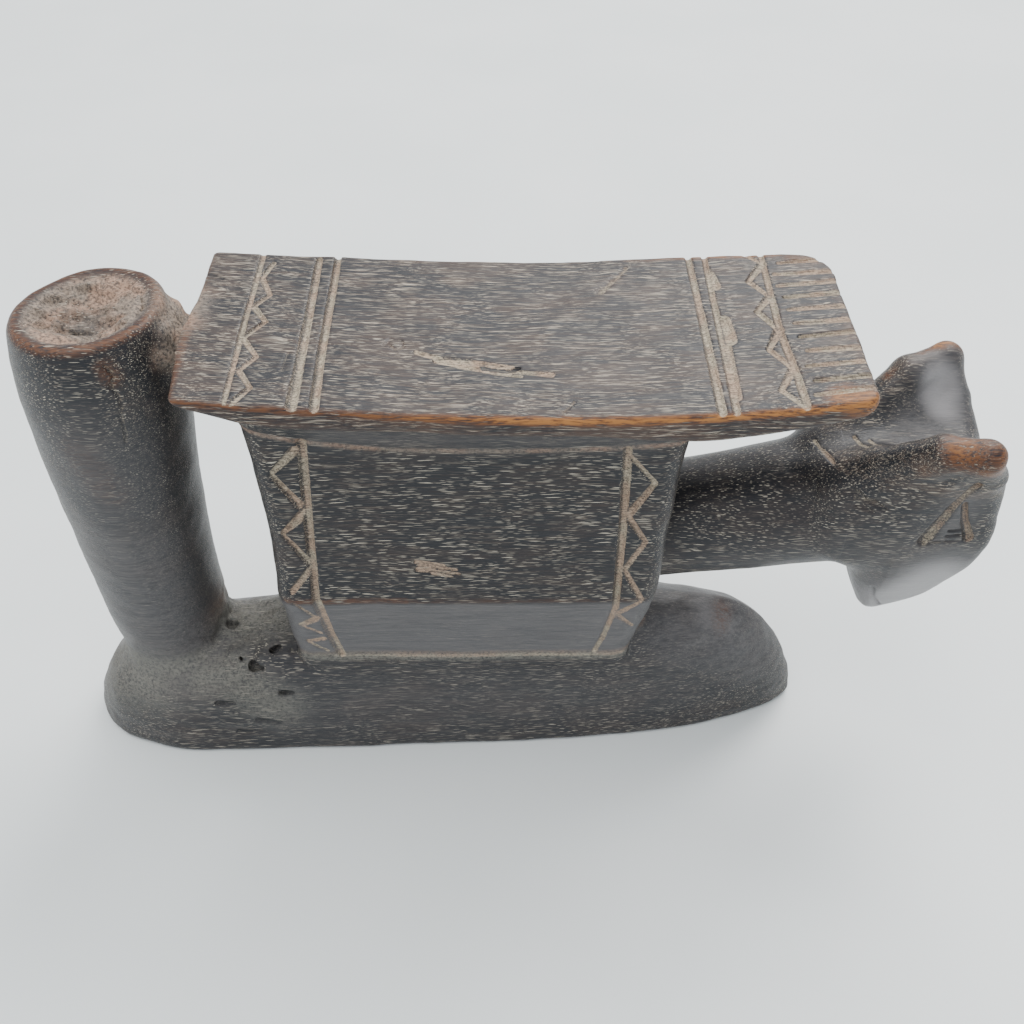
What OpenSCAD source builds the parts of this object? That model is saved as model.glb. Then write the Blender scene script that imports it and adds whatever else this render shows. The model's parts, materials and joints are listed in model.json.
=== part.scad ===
// Carved hardwood headrest: a saddle-shaped neck rest on a block, with a dished
// post at one end and an animal's neck and head at the other, on a long loaf base.
// The real object is one piece of wood. Each carved element is a solid of its own
// here, and neighbours meet face to face along the creases between them.
// X runs from the post to the head, Y from front to back, Z up from the floor.

/* [Neck rest] */
// Length of the neck rest along X
rest_length = 150; // [140:1:154]
// Depth of the neck rest along Y
rest_depth = 59; // [54:1:62]
// Height of the neck rest's two ends above the floor
rest_height = 135; // [133:0.5:137]
// How far the top dips in the middle of its length
saddle_dip = 3.8; // [2:0.2:5]
// Thickness of the neck rest in the middle
rest_thickness = 6.5; // [5.5:0.5:7.5]
// Thickness of the neck rest at its two ends
rest_tip_thickness = 2.5; // [2:0.5:3.5]
// Radius of the neck rest's corners in plan
rest_corner = 3; // [1:0.5:6]
// X of the middle of the neck rest
rest_x = 2.5; // [0:0.5:4]

/* [Support block] */
// X of the block's left face, on the post's side
block_left = -59; // [-61:0.5:-57]
// X of the block's right face, on the neck's side
block_right = 40.5; // [38:0.5:42]
// Depth of the block along Y
block_depth = 46; // [42:1:48]
// Height at which the sloping moulding under the rest begins
moulding_height = 116; // [112:1:119]
// Height of the fold below which the block is undercut
fold_height = 66; // [60:1:72]
// Height of the crease between block and base
crease_height = 40; // [36:1:42]
// Depth of the block at the crease
crease_depth = 38; // [37:0.5:40]
// How far the block's left end draws in below the fold
left_draw_in = 2; // [0:0.5:3]
// How far the block's right end draws in, down to the crease
right_draw_in = 6; // [2:0.5:7]

/* [Base] */
// Length of the base along X
base_length = 207.5; // [204:0.5:212]
// Greatest depth of the base along Y
base_depth = 41; // [39:0.5:44]
// Height of the base beside the block's left face
saddle_height = 38; // [36:0.5:39]
// Height of the mound beside the block's right face
mound_height = 44; // [42:0.5:48]

/* [Rear post] */
// Height of the post's rim above the floor
post_height = 139; // [136:0.5:142]
// X of the post's axis at floor level
post_foot_x = -92.3; // [-95:0.1:-91]
// How far the post leans away from the block, in degrees
post_lean = 1.6; // [0:0.1:2.5]
// Diameter of the post at its foot
post_foot_diameter = 31; // [29:0.5:32]
// Diameter of the post at its widest
post_belly_diameter = 39; // [37:0.5:40]
// Diameter of the post's rim
post_rim_diameter = 34; // [32:0.5:35]
// Diameter of the dish in the post's top
dish_diameter = 29; // [24:0.5:30]
// Depth of the dish in the post's top
dish_depth = 5.5; // [3:0.5:8]
// Height of the bridge that ties the post to the neck rest
bridge_height = 14; // [10:1:17]
// Width of the bridge along Y
bridge_width = 18; // [12:1:22]

/* [Animal neck and head] */
// Height of the neck where it leaves the block
neck_root_height = 29; // [26:0.5:31]
// Half the distance between the ear tips
ear_spread = 21; // [18:0.5:22]
// Height of the ear tips above the floor
ear_tip_height = 114.5; // [112:0.5:117]
// Greatest width of the head, without its ears
head_width = 35; // [32:0.5:37]
// Width of the muzzle at its tip
muzzle_width = 17; // [14:0.5:20]

/* [Incised lines] */
// X of the left zigzag's line, from the middle of the rest
left_zigzag_x = -62.5; // [-66:0.5:-58]
// X of the right zigzag's line, from the middle of the rest
right_zigzag_x = 60; // [56:0.5:66]
// X of the outer line of the left pair, from the middle of the rest
left_pair_x = -49; // [-52:0.5:-45]
// X of the outer line of the right pair, from the middle of the rest
right_pair_x = 45.5; // [42:0.5:49]
// Distance between the two lines of a pair
pair_gap = 4; // [3:0.5:6]
// Width of each incised groove
groove_width = 1.8; // [1:0.1:2.4]
// Depth of each incised groove
groove_depth = 0.8; // [0.4:0.1:1]
// Number of teeth in each zigzag across the neck rest
rest_teeth = 5; // [3:1:6]
// Number of teeth in each zigzag down the block
block_teeth = 5; // [3:1:6]
// How far a zigzag's teeth stand out from their line
tooth_height = 6; // [4:0.5:7]

/* [Hidden] */

wood = "#3a2a22";
polished_wood = "#5a3a22";
wide = 400;
eps = 0.01;
smooth_steps = 5;

rest_left = rest_x - rest_length / 2;
rest_mid_top = rest_height - saddle_dip;
rest_mid_under = rest_mid_top - rest_thickness;
under_rise = rest_height - rest_tip_thickness - rest_mid_under;
base_left = -120;
base_right = base_left + base_length;

// Radius of the circle whose arc over this chord rises this much
function arc_radius(chord, rise) = (chord * chord / 4 + rise * rise) / (2 * rise);
saddle_radius = arc_radius(rest_length, saddle_dip);
under_radius = arc_radius(rest_length, under_rise);

// Height of the neck rest's top at a distance from the middle of its length
function rest_top(x) = rest_mid_top + saddle_radius - sqrt(saddle_radius * saddle_radius - x * x);

// Catmull-Rom curve through a list of points of any dimension
function curve_point(p, i, t) =
    let (n = len(p) - 1, a = p[max(i - 1, 0)], b = p[i], c = p[min(i + 1, n)], d = p[min(i + 2, n)])
    0.5 * ((2 * b) + (c - a) * t + (2 * a - 5 * b + 4 * c - d) * t * t
        + (3 * b - a - 3 * c + d) * t * t * t);
function curve(p, steps = smooth_steps) =
    concat([for (i = [0:len(p) - 2], k = [0:steps - 1]) curve_point(p, i, k / steps)], [p[len(p) - 1]]);

// Lays a flat outline in X and Z and gives it a depth along Y, about Y = 0
module side_slab(depth) {
    translate([0, depth / 2, 0])
        rotate([90, 0, 0])
            linear_extrude(depth)
                children();
}

// Lays a flat outline in Y and Z and gives it a length along X, from x0 to x1
module end_slab(x0, x1) {
    translate([x0, 0, 0])
        rotate([90, 0, 90])
            linear_extrude(x1 - x0)
                children();
}

// A rectangle about the origin with round corners
module rounded_rectangle(length, depth, corner) {
    square([length - 2 * corner, depth], center = true);
    square([length, depth - 2 * corner], center = true);
    for (sx = [-1, 1], sy = [-1, 1])
        translate([sx * (length / 2 - corner), sy * (depth / 2 - corner)])
            circle(corner, $fn = 48);
}

// A V-shaped cut whose middle runs from p to q on a surface facing `up`
module groove(p, q, up) {
    mouth = 1.5;
    run = q - p;
    length = norm(run);
    along = run / length;
    across = cross(up, along);
    multmatrix([
        [along[0], across[0], up[0], p[0]],
        [along[1], across[1], up[1], p[1]],
        [along[2], across[2], up[2], p[2]]])
        translate([-eps, 0, 0])
            rotate([90, 0, 90])
                linear_extrude(length + 2 * eps)
                    polygon([[-groove_width / 2 * mouth, groove_depth * (mouth - 1)], [0, -groove_depth],
                             [groove_width / 2 * mouth, groove_depth * (mouth - 1)]]);
}

// The solid cylinder whose lowest stretch is the underside of the neck rest
module above_underside() {
    translate([rest_x, 0, rest_mid_under + under_radius])
        rotate([90, 0, 0])
            cylinder(h = wide, r = under_radius, center = true, $fn = 360);
}

// ---- Neck rest ----
// A groove between two places on the saddle, given from the rest's middle
module rest_groove(x0, y0, x1, y1) {
    groove([rest_x + x0, y0, rest_top(x0)], [rest_x + x1, y1, rest_top(x1)], [0, 0, 1]);
}

// A line right across the rest
module rest_line(x) {
    rest_groove(x, -rest_depth / 2 - 1, x, rest_depth / 2 + 1);
}

// Two lines side by side, the outer one at x
module rest_pair(x) {
    rest_line(x);
    rest_line(x - sign(x) * pair_gap);
}

// A line across the rest with teeth that point to the middle of the rest
module rest_zigzag(foot) {
    tip = foot - sign(foot) * tooth_height;
    margin = 1.5;
    pitch = (rest_depth - 2 * margin) / rest_teeth;
    rest_line(foot);
    for (i = [0:rest_teeth - 1]) {
        y = -rest_depth / 2 + margin + i * pitch;
        rest_groove(foot, y, tip, y + pitch / 2);
        rest_groove(tip, y + pitch / 2, foot, y + pitch);
    }
}

module neck_rest() {
    color(polished_wood)
        difference() {
            intersection() {
                translate([rest_x, 0, 0])
                    linear_extrude(rest_height)
                        rounded_rectangle(rest_length, rest_depth, rest_corner);
                above_underside();
            }
            translate([rest_x, 0, rest_mid_top + saddle_radius])
                rotate([90, 0, 0])
                    cylinder(h = wide, r = saddle_radius, center = true, $fn = 720);
            rest_zigzag(left_zigzag_x);
            rest_zigzag(right_zigzag_x);
            rest_pair(left_pair_x);
            rest_pair(right_pair_x);
        }
}

// ---- Moulding under the rest ----
module rest_moulding() {
    flare_top = rest_mid_under;
    half_block = block_depth / 2;
    half_rest = rest_depth / 2;
    hip = 10;
    color(wood)
        difference() {
            intersection() {
                end_slab(block_left, block_right)
                    polygon([[-half_block, moulding_height], [half_block, moulding_height],
                             [half_rest, flare_top], [half_rest, rest_height],
                             [-half_rest, rest_height], [-half_rest, flare_top]]);
                linear_extrude(wide)
                    polygon([[block_left, -half_block], [block_left + hip, -half_rest],
                             [block_right - hip, -half_rest], [block_right, -half_block],
                             [block_right, half_block], [block_right - hip, half_rest],
                             [block_left + hip, half_rest], [block_left, half_block]]);
            }
            above_underside();
        }
}

// ---- Support block ----
left_line_x = block_left + 11.5;
right_line_x = block_right - 13;
line_draw_in = 4;
front_slope = (block_depth - crease_depth) / 2 / (fold_height - crease_height);

// Depth of the block's front face at a height, and X of a band line at a height
function face_y(z) = -block_depth / 2 + max(0, fold_height - z) * front_slope;
function line_x(x, z) =
    x - sign(x) * line_draw_in * max(0, fold_height - z) / (fold_height - crease_height);
function face_point(x, z) = [line_x(x, z), face_y(z), z];
upper_face = [0, -1, 0];
lower_face = [0, -cos(atan(front_slope)), -sin(atan(front_slope))];

// A line down the front face and the undercut, with teeth that point outwards
module block_band(x) {
    side = sign(x);
    top = moulding_height - 1;
    pitch = (top - fold_height) / (block_teeth - 2);
    low_pitch = (fold_height - crease_height) / 2;
    groove(face_point(x, top), face_point(x, fold_height), upper_face);
    groove(face_point(x, fold_height), face_point(x, crease_height + 1), lower_face);
    for (i = [0:block_teeth - 3]) {
        z = top - i * pitch;
        groove(face_point(x, z), face_point(x + side * tooth_height, z - pitch / 2), upper_face);
        groove(face_point(x + side * tooth_height, z - pitch / 2), face_point(x, z - pitch), upper_face);
    }
    for (i = [0:1]) {
        z = fold_height - i * low_pitch;
        groove(face_point(x, z), face_point(x + side * tooth_height, z - low_pitch / 2), lower_face);
        groove(face_point(x + side * tooth_height, z - low_pitch / 2),
               face_point(x, z - low_pitch + 1), lower_face);
    }
}

module block_body() {
    half_block = block_depth / 2;
    half_crease = crease_depth / 2;
    intersection() {
        side_slab(wide)
            polygon([[block_left, moulding_height], [block_left, fold_height],
                     [block_left + left_draw_in, crease_height],
                     [block_right - right_draw_in, crease_height],
                     [block_right - right_draw_in / 2, fold_height], [block_right, moulding_height]]);
        end_slab(-wide / 2, wide / 2)
            polygon([[-half_block, moulding_height], [-half_block, fold_height],
                     [-half_crease, crease_height], [half_crease, crease_height],
                     [half_block, fold_height], [half_block, moulding_height]]);
    }
}

module support_block() {
    color(wood)
        difference() {
            block_body();
            for (mirrored = [0, 1])
                mirror([0, mirrored, 0])
                    for (x = [left_line_x, right_line_x])
                        block_band(x);
        }
}

// ---- Base ----
// Front half of the plan, from the left tip to the right tip
plan_front = curve([[base_left, 0], [base_left + 4, -8], [base_left + 14, -16.5],
    [base_left + 35, -base_depth / 2], [base_left + 90, -base_depth / 2 + 1],
    [base_right - 59, -17], [base_right - 29, -13.5], [base_right - 8, -7.5], [base_right, 1]]);
// Back half of the plan, from the right tip to the left tip
plan_back = curve([[base_right, 1], [base_right - 4, 8], [base_right - 16, 12.5],
    [base_right - 50, 18], [base_left + 90, base_depth / 2 - 1], [base_left + 35, base_depth / 2],
    [base_left + 14, 16.5], [base_left + 4, 8], [base_left, 0]]);
// Left end of the side view, up under the post to the block
left_end = curve([[base_left, 0], [base_left + 1, 6], [base_left + 4, 14], [base_left + 8, 20],
    [base_left + 17, 26], [base_left + 30, 30.5], [base_left + 42, saddle_height - 3],
    [base_left + 54, saddle_height - 0.5], [block_left + 3, saddle_height]]);
// Right end of the side view, down the mound
mound_line = curve([[block_right - 8, mound_height], [block_right + 6, mound_height - 0.5],
    [block_right + 16, mound_height - 3], [block_right + 27, mound_height - 9.5],
    [block_right + 37, mound_height - 18], [base_right - 4, 15], [base_right - 0.7, 5],
    [base_right, 0]]);

// Cross-section of the base beside the block: steep in front and rounder at the back
front_power = 3;
back_power = 2.1;
function oval_height(y, power, half, height) =
    height * pow(max(0, 1 - pow(abs(y) / half, power)), 1 / power);
function oval_section(half, height) = concat(
    [for (a = [180:-7.5:90]) let (y = half * cos(a)) [y, oval_height(y, front_power, half, height)]],
    [for (a = [82.5:-7.5:0]) let (y = half * cos(a)) [y, oval_height(y, back_power, half, height)]]);

module base() {
    half = base_depth / 2;
    half_crease = crease_depth / 2;
    color(wood)
        difference() {
            intersection() {
                linear_extrude(wide)
                    polygon(concat(plan_front, plan_back));
                side_slab(wide)
                    polygon(concat(left_end, [[block_left + 6, crease_height],
                        [block_right - 12, crease_height]], mound_line));
                union() {
                    end_slab(-wide / 2, block_left + 4)
                        polygon(oval_section(half, saddle_height));
                    end_slab(block_left + 4, block_right - 8)
                        polygon([[-half, 0], [-half, 8], [-half_crease, crease_height],
                                 [half_crease, crease_height], [half, 8], [half, 0]]);
                    end_slab(block_right - 8, wide / 2)
                        polygon(oval_section(half, mound_height));
                }
            }
            block_body();
        }
}

// ---- Rear post ----
post_outline = curve([[post_foot_diameter / 2 + 0.5, 12], [post_foot_diameter / 2, 30],
    [post_foot_diameter / 2 + 1.2, 47], [post_foot_diameter / 2 + 2.7, post_height * 0.59],
    [post_belly_diameter / 2, post_height * 0.79], [post_belly_diameter / 2 - 0.6, post_height * 0.875],
    [post_rim_diameter / 2 + 0.8, post_height * 0.97], [post_rim_diameter / 2 - 0.8, post_height]], 4);
dish_radius = arc_radius(dish_diameter, dish_depth);

// Stands something on the post's leaning axis
module on_post() {
    translate([post_foot_x, 0, 0])
        rotate([0, -post_lean, 0])
            children();
}

module post_solid() {
    on_post()
        rotate_extrude($fn = 96)
            polygon(concat([[0, 12]], post_outline, [[0, post_height]]));
}

module rear_post() {
    color(wood)
        difference() {
            post_solid();
            on_post()
                translate([0, 0, post_height + dish_radius - dish_depth])
                    sphere(dish_radius, $fn = 96);
            base();
        }
}

// ---- Bridge between post and neck rest ----
module post_bridge() {
    top = rest_height - 1.5;
    inside_post = post_foot_x;
    color(wood)
        difference() {
            side_slab(bridge_width)
                polygon([[inside_post, top], [rest_left + 10, top],
                         [rest_left + 3, top - bridge_height * 0.45],
                         [rest_left - 2, top - bridge_height], [inside_post, top - bridge_height]]);
            post_solid();
            above_underside();
        }
}

// ---- Animal's neck, head and muzzle ----
// Each station crosses the neck or head: outer X and Z, inner X and Z, half width, roundness
neck_mid = 75;
half_head = head_width / 2;
neck_stations = [
    [block_right - 5, neck_mid + neck_root_height / 2, block_right - 5, neck_mid - neck_root_height / 2,
     14.5, 1],
    [62, 95, 62, 63.5, 15.6, 1],
    [80, 99.5, 80, 65, 17, 0.95]];
head_stations = [
    [80, 99.5, 80, 65, 17, 0.95],
    [97, 101, 86, 64, half_head, 0.85],
    [112, 101.5, 89, 62, half_head, 0.75],
    [119, 97, 90, 60.5, half_head, 0.7],
    [120, 85, 91, 58.5, half_head - 2, 0.7]];
muzzle_stations = [
    [120, 85, 91, 58.5, half_head - 2, 0.7],
    [118, 71, 92.5, 55.5, half_head - 4.5, 0.75],
    [114.5, 58, 95, 51, muzzle_width / 2 + 1.5, 0.8],
    [107, 50, 99, 47.5, muzzle_width / 2, 0.85]];
ring_sides = 28;

// A power of a cosine or sine that keeps its sign
function bent(value, power) = sign(value) * pow(abs(value), power);

// One ring of points around a station
function ring(s) = [for (i = [0:ring_sides - 1])
    let (a = 360 * i / ring_sides, u = bent(cos(a), s[5]), v = bent(sin(a), s[5]))
    [(s[0] + s[2]) / 2 + u * (s[0] - s[2]) / 2, v * s[4], (s[1] + s[3]) / 2 + u * (s[1] - s[3]) / 2]];

// A closed skin over a list of stations, with a flat cap at each end
module loft(stations) {
    n = len(stations);
    points = [for (s = stations) each ring(s)];
    sides = [for (k = [0:n - 2], i = [0:ring_sides - 1])
        let (j = (i + 1) % ring_sides, a = k * ring_sides, b = a + ring_sides)
        each [[a + i, a + j, b + j], [a + i, b + j, b + i]]];
    first_cap = [for (i = [ring_sides - 1:-1:0]) i];
    last_cap = [for (i = [0:ring_sides - 1]) (n - 1) * ring_sides + i];
    polyhedron(points, concat(sides, [first_cap, last_cap]));
}

module animal_neck() {
    color(wood)
        difference() {
            loft(curve(neck_stations, 4));
            block_body();
        }
}

// Each ear stands on a level cut beside the crown, the strip left between the ears
ear_seat_height = 96.5;
crown_width = 7;
ear_seat_back = 83;

module ear_room() {
    translate([ear_seat_back, crown_width / 2, ear_seat_height])
        cube([wide, wide, wide]);
}

module animal_head() {
    color(wood)
        difference() {
            loft(curve(head_stations, 4));
            ear_room();
            mirror([0, 1, 0])
                ear_room();
        }
}

module muzzle() {
    color(wood)
        loft(curve(muzzle_stations, 3));
}

// One ear, on the far side of the head: a swept-up ridge with a blunt tip
module ear() {
    tip_radius = 4;
    ridge_radius = 2;
    intersection() {
        hull() {
            translate([ear_seat_back + 28.5, ear_spread - tip_radius, ear_tip_height - tip_radius])
                sphere(tip_radius, $fn = 32);
            translate([ear_seat_back + 9.5, 12, 107.5])
                sphere(ridge_radius, $fn = 24);
            translate([0, 0, ear_seat_height])
                linear_extrude(1)
                    polygon([[ear_seat_back - 3, crown_width / 2], [ear_seat_back + 35, crown_width / 2],
                             [ear_seat_back + 35, 12], [ear_seat_back + 29, 16],
                             [ear_seat_back + 14, 16], [ear_seat_back - 3, 9]]);
        }
        ear_room();
    }
}

module left_ear() {
    color(polished_wood)
        ear();
}

module right_ear() {
    color(polished_wood)
        mirror([0, 1, 0])
            ear();
}

base();
support_block();
rest_moulding();
neck_rest();
rear_post();
post_bridge();
animal_neck();
animal_head();
muzzle();
left_ear();
right_ear();
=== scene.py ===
import json
import math

import bpy
import numpy as np
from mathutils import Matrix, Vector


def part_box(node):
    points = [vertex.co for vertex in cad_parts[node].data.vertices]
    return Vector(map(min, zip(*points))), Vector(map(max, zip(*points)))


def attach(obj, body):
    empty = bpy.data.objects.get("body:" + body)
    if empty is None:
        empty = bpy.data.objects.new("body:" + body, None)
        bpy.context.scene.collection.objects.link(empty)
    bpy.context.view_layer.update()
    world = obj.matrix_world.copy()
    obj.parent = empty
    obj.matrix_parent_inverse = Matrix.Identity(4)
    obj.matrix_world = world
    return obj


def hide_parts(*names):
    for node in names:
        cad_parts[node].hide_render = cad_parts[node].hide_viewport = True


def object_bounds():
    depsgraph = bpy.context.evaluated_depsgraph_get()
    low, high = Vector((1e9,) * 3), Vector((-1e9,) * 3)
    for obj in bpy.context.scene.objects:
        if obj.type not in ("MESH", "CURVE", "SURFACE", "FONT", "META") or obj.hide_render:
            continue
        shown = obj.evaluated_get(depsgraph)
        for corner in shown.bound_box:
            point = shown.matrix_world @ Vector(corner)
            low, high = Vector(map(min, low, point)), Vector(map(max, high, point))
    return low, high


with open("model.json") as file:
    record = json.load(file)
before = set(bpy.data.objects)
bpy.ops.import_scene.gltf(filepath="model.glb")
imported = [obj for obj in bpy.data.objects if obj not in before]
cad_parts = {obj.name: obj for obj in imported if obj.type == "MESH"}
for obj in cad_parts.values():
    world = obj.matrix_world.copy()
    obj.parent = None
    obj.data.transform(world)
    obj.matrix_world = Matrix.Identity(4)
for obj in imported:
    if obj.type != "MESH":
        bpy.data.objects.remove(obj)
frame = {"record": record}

import openvdb
from mathutils import Matrix, Vector

# The carving is worked out in millimetres, in the frame's own axes. MM turns it into metres.
MM = 0.001
CAD_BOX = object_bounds()
FRONT, BACK = -1, 1


def box_mm(node):
    """A CAD node's lowest and highest corners, in millimetres."""
    low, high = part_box(node)
    return Vector(low) / MM, Vector(high) / MM


BLOCK_LOW, BLOCK_HIGH = box_mm("support_block")
REST_LOW, REST_HIGH = box_mm("neck_rest")
POST_HIGH = box_mm("rear_post")[1]
WHOLE_LOW, WHOLE_HIGH = (Vector(corner) / MM for corner in CAD_BOX)


# ---- Fields: signed distances in millimetres, negative inside the wood ----
class Grid:
    """A block of places on one lattice that every piece shares, as three open axes."""

    def __init__(self, low, high, step):
        self.step = step
        self.first = [math.floor(a / step) for a in low]
        last = [math.ceil(b / step) for b in high]
        axes = [np.arange(f, e + 1, dtype=np.float32) * step for f, e in zip(self.first, last)]
        self.x, self.y, self.z = np.meshgrid(*axes, indexing="ij", sparse=True)

    def window(self, low, high):
        """The slices of the grid's arrays between two corners, or None where they miss it."""
        slices = []
        for axis, a, b in zip((self.x, self.y, self.z), low, high):
            inside = np.flatnonzero((axis.ravel() >= a) & (axis.ravel() <= b))
            if len(inside) == 0:
                return None
            slices.append(slice(inside[0], inside[-1] + 1))
        return tuple(slices)

    def part(self, window):
        """The same lattice inside a window."""
        piece = object.__new__(Grid)
        piece.step = self.step
        piece.x = self.x[window[0]]
        piece.y = self.y[:, window[1]]
        piece.z = self.z[:, :, window[2]]
        return piece


def at_points(points):
    """A grid that holds a plain list of places."""
    places = object.__new__(Grid)
    places.step = 1
    places.x, places.y, places.z = np.asarray(points, np.float32).T
    return places


def blend_min(a, b, k):
    """The union of two fields, with a fillet about k wide where they meet."""
    near = np.maximum(k - np.abs(a - b), 0) / k
    return np.minimum(a, b) - near * near * k / 4


def blend_max(a, b, k):
    """What two fields share, with an edge rounded over about k."""
    near = np.maximum(k - np.abs(a - b), 0) / k
    return np.maximum(a, b) + near * near * k / 4


def step_up(value, low, high):
    """0 below low, 1 above high, and smooth between them."""
    t = np.clip((value - low) / (high - low), 0, 1)
    return t * t * (3 - 2 * t)


def curve(points, steps=8):
    """Catmull-Rom curve through a list of points."""
    p = np.array(points, float)
    p = np.vstack([2 * p[0] - p[1], p, 2 * p[-1] - p[-2]])
    made = []
    for a, b, c, d in zip(p, p[1:], p[2:], p[3:]):
        for t in np.arange(steps) / steps:
            made.append(0.5 * (2 * b + (c - a) * t + (2 * a - 5 * b + 4 * c - d) * t ** 2
                               + (3 * b - a - 3 * c + d) * t ** 3))
    return np.array(made + [p[-2]])


def profile(value, points):
    """A smooth curve through (place, size) points, read at each value."""
    places, sizes = curve(points).T
    return np.interp(value, places, sizes).astype(np.float32)


def outline_distance(u, v, points):
    """Distance to a closed flat outline, negative inside it."""
    u, v = np.broadcast_arrays(u, v)
    best = np.full(u.shape, 1e9, np.float32)
    inside = np.zeros(u.shape, bool)
    for (ax, ay), (bx, by) in zip(points, np.roll(points, -1, axis=0)):
        ex, ey = bx - ax, by - ay
        t = np.clip(((u - ax) * ex + (v - ay) * ey) / (ex * ex + ey * ey + 1e-9), 0, 1)
        best = np.minimum(best, (u - ax - t * ex) ** 2 + (v - ay - t * ey) ** 2)
        if ey != 0:
            inside ^= ((ay > v) != (by > v)) & (u < ax + (v - ay) * ex / ey)
    return np.where(inside, -1, 1) * np.sqrt(best)


def limb(g, a, b, ra, rb):
    """A round-ended taper between two points."""
    a, b = np.array(a, np.float32), np.array(b, np.float32)
    run = b - a
    x, y, z = g.x - a[0], g.y - a[1], g.z - a[2]
    t = np.clip((x * run[0] + y * run[1] + z * run[2]) / max(run @ run, 1e-9), 0, 1)
    gap = np.sqrt((x - t * run[0]) ** 2 + (y - t * run[1]) ** 2 + (z - t * run[2]) ** 2)
    return gap - ra - t * (rb - ra)


def plate(g, a, b, c, radius):
    """A three-cornered plate with round edges."""
    corners = [np.array(p, np.float32) for p in (a, b, c)]
    normal = np.cross(corners[1] - corners[0], corners[2] - corners[0])
    normal /= np.linalg.norm(normal)
    over = None
    edge = None
    for p, q in zip(corners, corners[1:] + corners[:1]):
        inward = np.cross(normal, q - p)
        side = (g.x - p[0]) * inward[0] + (g.y - p[1]) * inward[1] + (g.z - p[2]) * inward[2]
        over = side >= 0 if over is None else over & (side >= 0)
        gap = limb(g, p, q, 0, 0)
        edge = gap if edge is None else np.minimum(edge, gap)
    p = corners[0]
    height = np.abs((g.x - p[0]) * normal[0] + (g.y - p[1]) * normal[1] + (g.z - p[2]) * normal[2])
    return np.where(over, height, edge) - radius


def spline_weights(values, spacing, start, count):
    """Cubic B-spline weights of evenly spaced control values, at each of some places."""
    t = (values - start) / spacing
    i = np.floor(t).astype(int)
    f = t - i
    weights = np.zeros((len(values), count), np.float32)
    rows = np.arange(len(values))
    for offset, w in ((-1, (1 - f) ** 3), (0, 3 * f ** 3 - 6 * f ** 2 + 4),
                      (1, -3 * f ** 3 + 3 * f ** 2 + 3 * f + 1), (2, f ** 3)):
        weights[rows, i + offset] += w / 6
    return weights


def noise(g, spacing, seed):
    """Smooth noise, mostly from -1 to 1: one field, whichever grid reads it."""
    margin = 12
    starts = [a - margin - 2 * s for a, s in zip(WHOLE_LOW, spacing)]
    counts = [math.ceil((b + margin - start) / s) + 4
              for b, start, s in zip(WHOLE_HIGH, starts, spacing)]
    values = np.random.default_rng(seed).standard_normal(counts).astype(np.float32) * 1.8
    for axis, start, count, s in zip((g.x, g.y, g.z), starts, counts, spacing):
        weights = spline_weights(axis.ravel(), s, start, count)
        values = np.tensordot(values, weights, (0, 1))
    return values


def bump(g, middle, size):
    """A soft mound of 1 in the middle that fades over size along each axis."""
    return (np.exp(-((g.x - middle[0]) / size[0]) ** 2) * np.exp(-((g.y - middle[1]) / size[1]) ** 2)
            * np.exp(-((g.z - middle[2]) / size[2]) ** 2))


# ---- Neck rest ----
REST_FRONT_RISE = 4.9
REST_FRONT_LOW_X = REST_LOW.x + 90
REST_BACK_LOW_X = REST_LOW.x + 71
REST_END_TOP = REST_HIGH.z


def sag(x, low_x, low, left_x, left, right_x, right, power=2.0):
    """A hanging curve: `low` at low_x, `left` at left_x and `right` at right_x."""
    left_part = (left - low) * np.clip((low_x - x) / (low_x - left_x), 0, 2) ** power
    right_part = (right - low) * np.clip((x - low_x) / (right_x - low_x), 0, 2) ** power
    return low + left_part + right_part


def rest_top(x, y):
    """Height of the saddle, which dips further along its front edge than behind."""
    front = sag(x, REST_FRONT_LOW_X, REST_END_TOP - REST_FRONT_RISE, REST_LOW.x, REST_END_TOP + 0.2,
                REST_HIGH.x, REST_END_TOP + 0.2)
    back = sag(x, REST_BACK_LOW_X, REST_END_TOP - 2.7, REST_LOW.x, REST_END_TOP + 0.2,
               REST_HIGH.x, REST_END_TOP + 0.8, 1.5)
    across = (y - REST_LOW.y) / (REST_HIGH.y - REST_LOW.y)
    return front + (back - front) * np.clip(across, 0, 1)


def rest_under(x):
    """Height of the rest's underside, thickest right of its middle."""
    return profile(x, [(-82, 139), (-73, 133.6), (-66, 130.7), (-57, 128), (-46, 126.6), (-31, 125.8),
                       (-3, 125), (19, 124.5), (39, 123.2), (51, 124.2), (62, 126.4), (72, 129),
                       (78, 131.6), (86, 136)])


def rest_solid(g):
    left = REST_LOW.x + 0.3 - 2.4 * np.exp(-((g.y + 9) / 15) ** 2)
    right = REST_HIGH.x + 1.1 - 0.0004 * (g.y - 4) ** 2
    sides = blend_max(REST_LOW.y - 0.3 - g.y, g.y - REST_HIGH.y - 0.5, 1)
    ends = blend_max(left - g.x, g.x - right, 1)
    corner = 1.6 + 2 * step_up(g.x, 0, 60) + 9 * step_up(g.x, 0, 60) * step_up(g.y, -10, 20)
    plan = blend_max(sides, ends, corner)
    slab = blend_max(g.z - rest_top(g.x, g.y), rest_under(g.x) - g.z, 0.8)
    return blend_max(plan, slab, 1.8 - 0.8 * step_up(g.y, 0, 20))


# ---- Moulding under the rest ----
def crease_under_rest(x):
    """Height of the crease between the moulding and the block."""
    return sag(x, -12, 115.8, BLOCK_LOW.x, 121.5, BLOCK_HIGH.x, 118, 2.4)


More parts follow.
